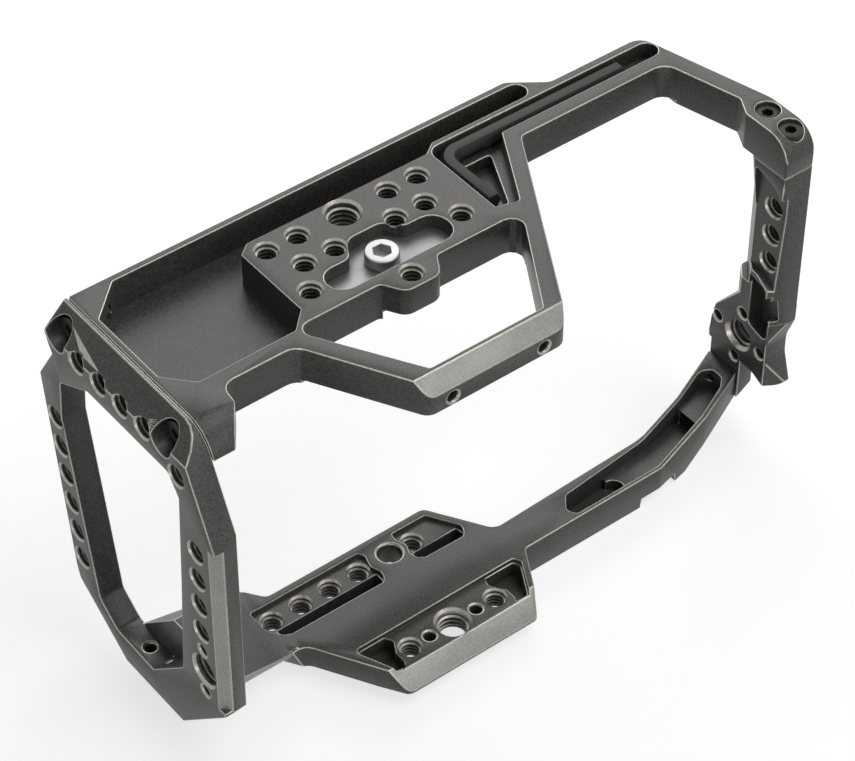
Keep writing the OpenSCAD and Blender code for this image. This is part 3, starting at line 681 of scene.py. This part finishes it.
class CAGE_OT_side_frame(CageOperator, bpy.types.Operator):
    """Bevels the side frame and the top plate and cuts the threads of their holes"""

    bl_idname = "cage.side_frame"
    bl_label = "Side Frame and Top Plate"

    def build(self, sizes):
        lean = math.radians(7.3)
        steps = [HOLE_STEP * i for i in range(6)]
        rail = [(1.7 - step, -7.7) for step in steps[:4]]
        columns = [(16 - step * math.sin(lean), -38.1 - step * math.cos(lean)) for step in steps]
        columns += [(-49.5, -35.6 - step) for step in steps[:4]] + [(-42.9, -13.2)]
        rows = [(-47.4 + step, -27.4) for step in steps[:4]] + [(1.8, -27.4), (-22.8, -58.6), (7.2, -58.6)]
        side = (SMALL_R, FRAME_LEFT, FRAME_END, sizes.small_pitch, SMALL_SINK)
        groups = (
            Bores("X", [(0, y, z) for y, z in rail], *side, plain_mouth=True),
            Bores("X", [(0, y, z) for y, z in columns], *side),
            Bores("Z", [(x, y, 0) for x, y in rows], SMALL_R, PLATE_TOP, PLATE_END, sizes.small_pitch, SMALL_SINK),
            Bores("X", [(0, -49.5, -81.2)], LARGE_R, FRAME_LEFT, FRAME_END, sizes.large_pitch, LARGE_SINK),
            Bores("Z", [(-7.8, -58.6, 0)], LARGE_R, PLATE_TOP, PLATE_END, sizes.large_pitch, LARGE_SINK),
        )
        # the column and plate chamfers are painted pale, a painted highlight
        column_front = ((-0.707, -0.707, 0), (-85, -60, -95), (-79, -54, -28))
        plate_front = ((0, -0.8, 0.6), (-45, -69, -113), (25, -62, -105))
        frame_piece("side_frame", sizes, groups, (column_front, plate_front))


class CAGE_OT_grip_post(CageOperator, bpy.types.Operator):
    """Bevels the grip post and cuts the threads of its holes"""

    bl_idname = "cage.grip_post"
    bl_label = "Grip Post"

    def build(self, sizes):
        column = [(0, -47.2, -27.3 - HOLE_STEP * i) for i in range(3)]
        small = Bores("X", column, SMALL_R, POST_LEFT, POST_RIGHT, sizes.small_pitch, SMALL_SINK)
        large = Bores("X", [(0, -38, -82.5)], LARGE_R, POST_LEFT, POST_RIGHT, sizes.large_pitch, LARGE_SINK)
        frame_piece("grip_post", sizes, (small, large))


class CAGE_OT_slot_plate(CageOperator, bpy.types.Operator):
    """Bevels the bare plate in the slot"""

    bl_idname = "cage.slot_plate"
    bl_label = "Slot Plate"

    def build(self, sizes):
        piece = machined_copy("slot_plate", "slot_plate_metal", sizes.small_edge, (brushed_steel,))
        settle(piece, "cage", "bare_steel", "slot_plate")


class CAGE_OT_mounting_screw(CageOperator, bpy.types.Operator):
    """Bevels the mounting screw's head and cuts its thread"""

    bl_idname = "cage.mounting_screw"
    bl_label = "Mounting Screw"

    def build(self, sizes):
        shank = Bores("Z", [(-0.5, -18, 0)], SHANK_R, SHANK_TOP, SHANK_TIP, sizes.small_pitch)
        piece = machined_copy("mounting_screw", "mounting_screw_steel", sizes.small_edge, (turned_steel,),
                              shank.circles())
        pick(piece)
        shank.cut_threads(piece, -sizes.thread_depth, SHANK_GROOVE, SHANK_CREST)
        settle(piece, "screw", "bare_steel", "mounting_screw")


class CAGE_OT_hex_key(CageOperator, bpy.types.Operator):
    """Bevels the stowed hex key"""

    bl_idname = "cage.hex_key"
    bl_label = "Hex Key"

    def build(self, sizes):
        piece = machined_copy("hex_key", "hex_key_steel", sizes.small_edge, (blackened_steel,))
        settle(piece, "key", "black_steel", "hex_key")


class CAGE_OT_frame_screws(CageOperator, bpy.types.Operator):
    """Bevels the screws that hold the frame together"""

    bl_idname = "cage.frame_screws"
    bl_label = "Frame Screws"

    def build(self, sizes):
        for node in ("side_screws", "post_screws", "arm_screw"):
            piece = machined_copy(node, node + "_steel", sizes.small_edge, (blackened_steel,))
            settle(piece, "cage", "black_steel", node)


class CAGE_OT_small_parts(CageOperator, bpy.types.Operator):
    """Gives the magnets, the pins and the pads their finishes"""

    bl_idname = "cage.small_parts"
    bl_label = "Magnets, Pins and Pads"

    def build(self, sizes):
        finishes = {"key_magnets": plated_nickel, "locating_pins": brushed_steel, "camera_pads": pad_rubber}
        for node, make in finishes.items():
            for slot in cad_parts[node].material_slots:
                slot.material = material(make)


class CAGE_OT_stage(bpy.types.Operator):
    """Sets the floor, the lights and the camera"""

    bl_idname = "cage.stage"
    bl_label = "Stage"
    bl_options = {"REGISTER", "UNDO"}

    def execute(self, context):
        scene, stage, colours = context.scene, context.scene.cage_stage, context.scene.cage_colours
        bpy.ops.object.select_all(action="DESELECT")
        bpy.ops.mesh.primitive_plane_add(size=stage.floor_size, location=(0, 0, CAD_BOX[0][2] - FLOOR_GAP))
        floor = context.active_object
        floor.name = "floor"
        floor.data.materials.append(self.floor_material(stage, colours))
        bpy.ops.object.transform_apply(location=True, rotation=True, scale=True)
        self.light_world(scene, stage)
        key = self.lamp("key_light", "SUN", KEY_WAY, stage.key_light)
        key.data.angle = KEY_SPREAD
        for box in SOFT_BOXES:
            self.soft_box(*box)
        self.set_camera(scene, stage)
        scene.view_settings.view_transform = "Standard"
        return {"FINISHED"}

    def floor_material(self, stage, colours):
        """A pale floor that shows white with a soft shadow, and throws little light back at the cage."""
        f = Finish(bpy.data.materials.new("pale_floor"))
        bounce = f.node("BsdfDiffuse", {"Color": tint(colours.floor, 0.16)}).outputs["BSDF"]
        tone = f.mix(f.noise(FLOOR_SPECK), tint(colours.floor, 0.98), colours.floor)
        lit = f.node("BsdfDiffuse", {"Color": tint(colours.floor, 0.55)}).outputs["BSDF"]
        glow = f.node("Emission", {"Color": tone, "Strength": stage.floor_glow}).outputs[0]
        shown = f.node("AddShader", {0: lit, 1: glow}).outputs[0]
        mixed = f.node("MixShader")
        f.feed(mixed.inputs[0], f.seen())
        f.feed(mixed.inputs[1], bounce)
        f.feed(mixed.inputs[2], shown)
        return f.out(mixed.outputs[0])

    def light_world(self, scene, stage):
        """White where it is seen, and a faint fill elsewhere."""
        scene.world = bpy.data.worlds.new("studio")
        f = Finish(scene.world)
        fill = f.node("Background", {"Color": (0.97, 0.98, 1), "Strength": stage.fill_light}).outputs[0]
        white = f.node("Background", {"Color": (1, 1, 1), "Strength": 1.0}).outputs[0]
        mixed = f.node("MixShader")
        f.feed(mixed.inputs[0], f.seen())
        f.feed(mixed.inputs[1], fill)
        f.feed(mixed.inputs[2], white)
        f.out(mixed.outputs[0])

    def lamp(self, name, kind, way, energy):
        """A lamp that shines from one way towards the middle."""
        data = bpy.data.lights.new(name, kind)
        data.energy = energy
        lamp = bpy.data.objects.new(name, data)
        lamp.rotation_euler = Vector(way).to_track_quat("Z", "Y").to_euler()
        bpy.context.scene.collection.objects.link(lamp)
        return lamp

    def soft_box(self, name, way, size, radiance):
        """A lit rectangle that faces the cage and isn't seen by the camera."""
        lamp = self.lamp(name, "AREA", way, radiance * size[0] * size[1] * math.pi)
        lamp.data.shape = "RECTANGLE"
        lamp.data.size, lamp.data.size_y = size
        middle = (Vector(CAD_BOX[0]) + Vector(CAD_BOX[1])) / 2
        lamp.location = middle + Vector(way).normalized() * BOX_DISTANCE
        lamp.visible_camera = False

    def set_camera(self, scene, stage):
        data = bpy.data.cameras.new("camera")
        data.sensor_width = SENSOR_WIDTH
        data.lens = stage.lens
        data.clip_start = NEAR_CLIP
        camera = bpy.data.objects.new("camera", data)
        camera.location = stage.camera_at
        camera.rotation_euler = stage.camera_turn
        scene.collection.objects.link(camera)
        scene.camera = camera


PIECES = (CAGE_OT_base_plate, CAGE_OT_side_frame, CAGE_OT_grip_post, CAGE_OT_slot_plate, CAGE_OT_mounting_screw,
          CAGE_OT_hex_key, CAGE_OT_frame_screws, CAGE_OT_small_parts, CAGE_OT_stage)
GROUPS = {CageSizes: "cage_sizes", CageColours: "cage_colours", CageStage: "cage_stage"}


class CAGE_PT_panel(bpy.types.Panel):
    """Lists the cage's sizes, colours and operators"""

    bl_idname = "CAGE_PT_panel"
    bl_label = "Camera Cage"
    bl_space_type = "VIEW_3D"
    bl_region_type = "UI"
    bl_category = "Cage"

    def draw(self, context):
        for group, scene_name in GROUPS.items():
            box = self.layout.box()
            owner = getattr(context.scene, scene_name)
            for name in group.__annotations__:
                box.prop(owner, name)
        for piece in PIECES:
            self.layout.operator(piece.bl_idname)


def register():
    for item in (*GROUPS, *PIECES, CAGE_PT_panel):
        bpy.utils.register_class(item)
    for group, name in GROUPS.items():
        setattr(bpy.types.Scene, name, bpy.props.PointerProperty(type=group))


def unregister():
    for name in GROUPS.values():
        delattr(bpy.types.Scene, name)
    for item in reversed((*GROUPS, *PIECES, CAGE_PT_panel)):
        bpy.utils.unregister_class(item)


def main():
    register()
    for piece in PIECES:
        family, name = piece.bl_idname.split(".")
        getattr(getattr(bpy.ops, family), name)()


if __name__ == "__main__":
    main()
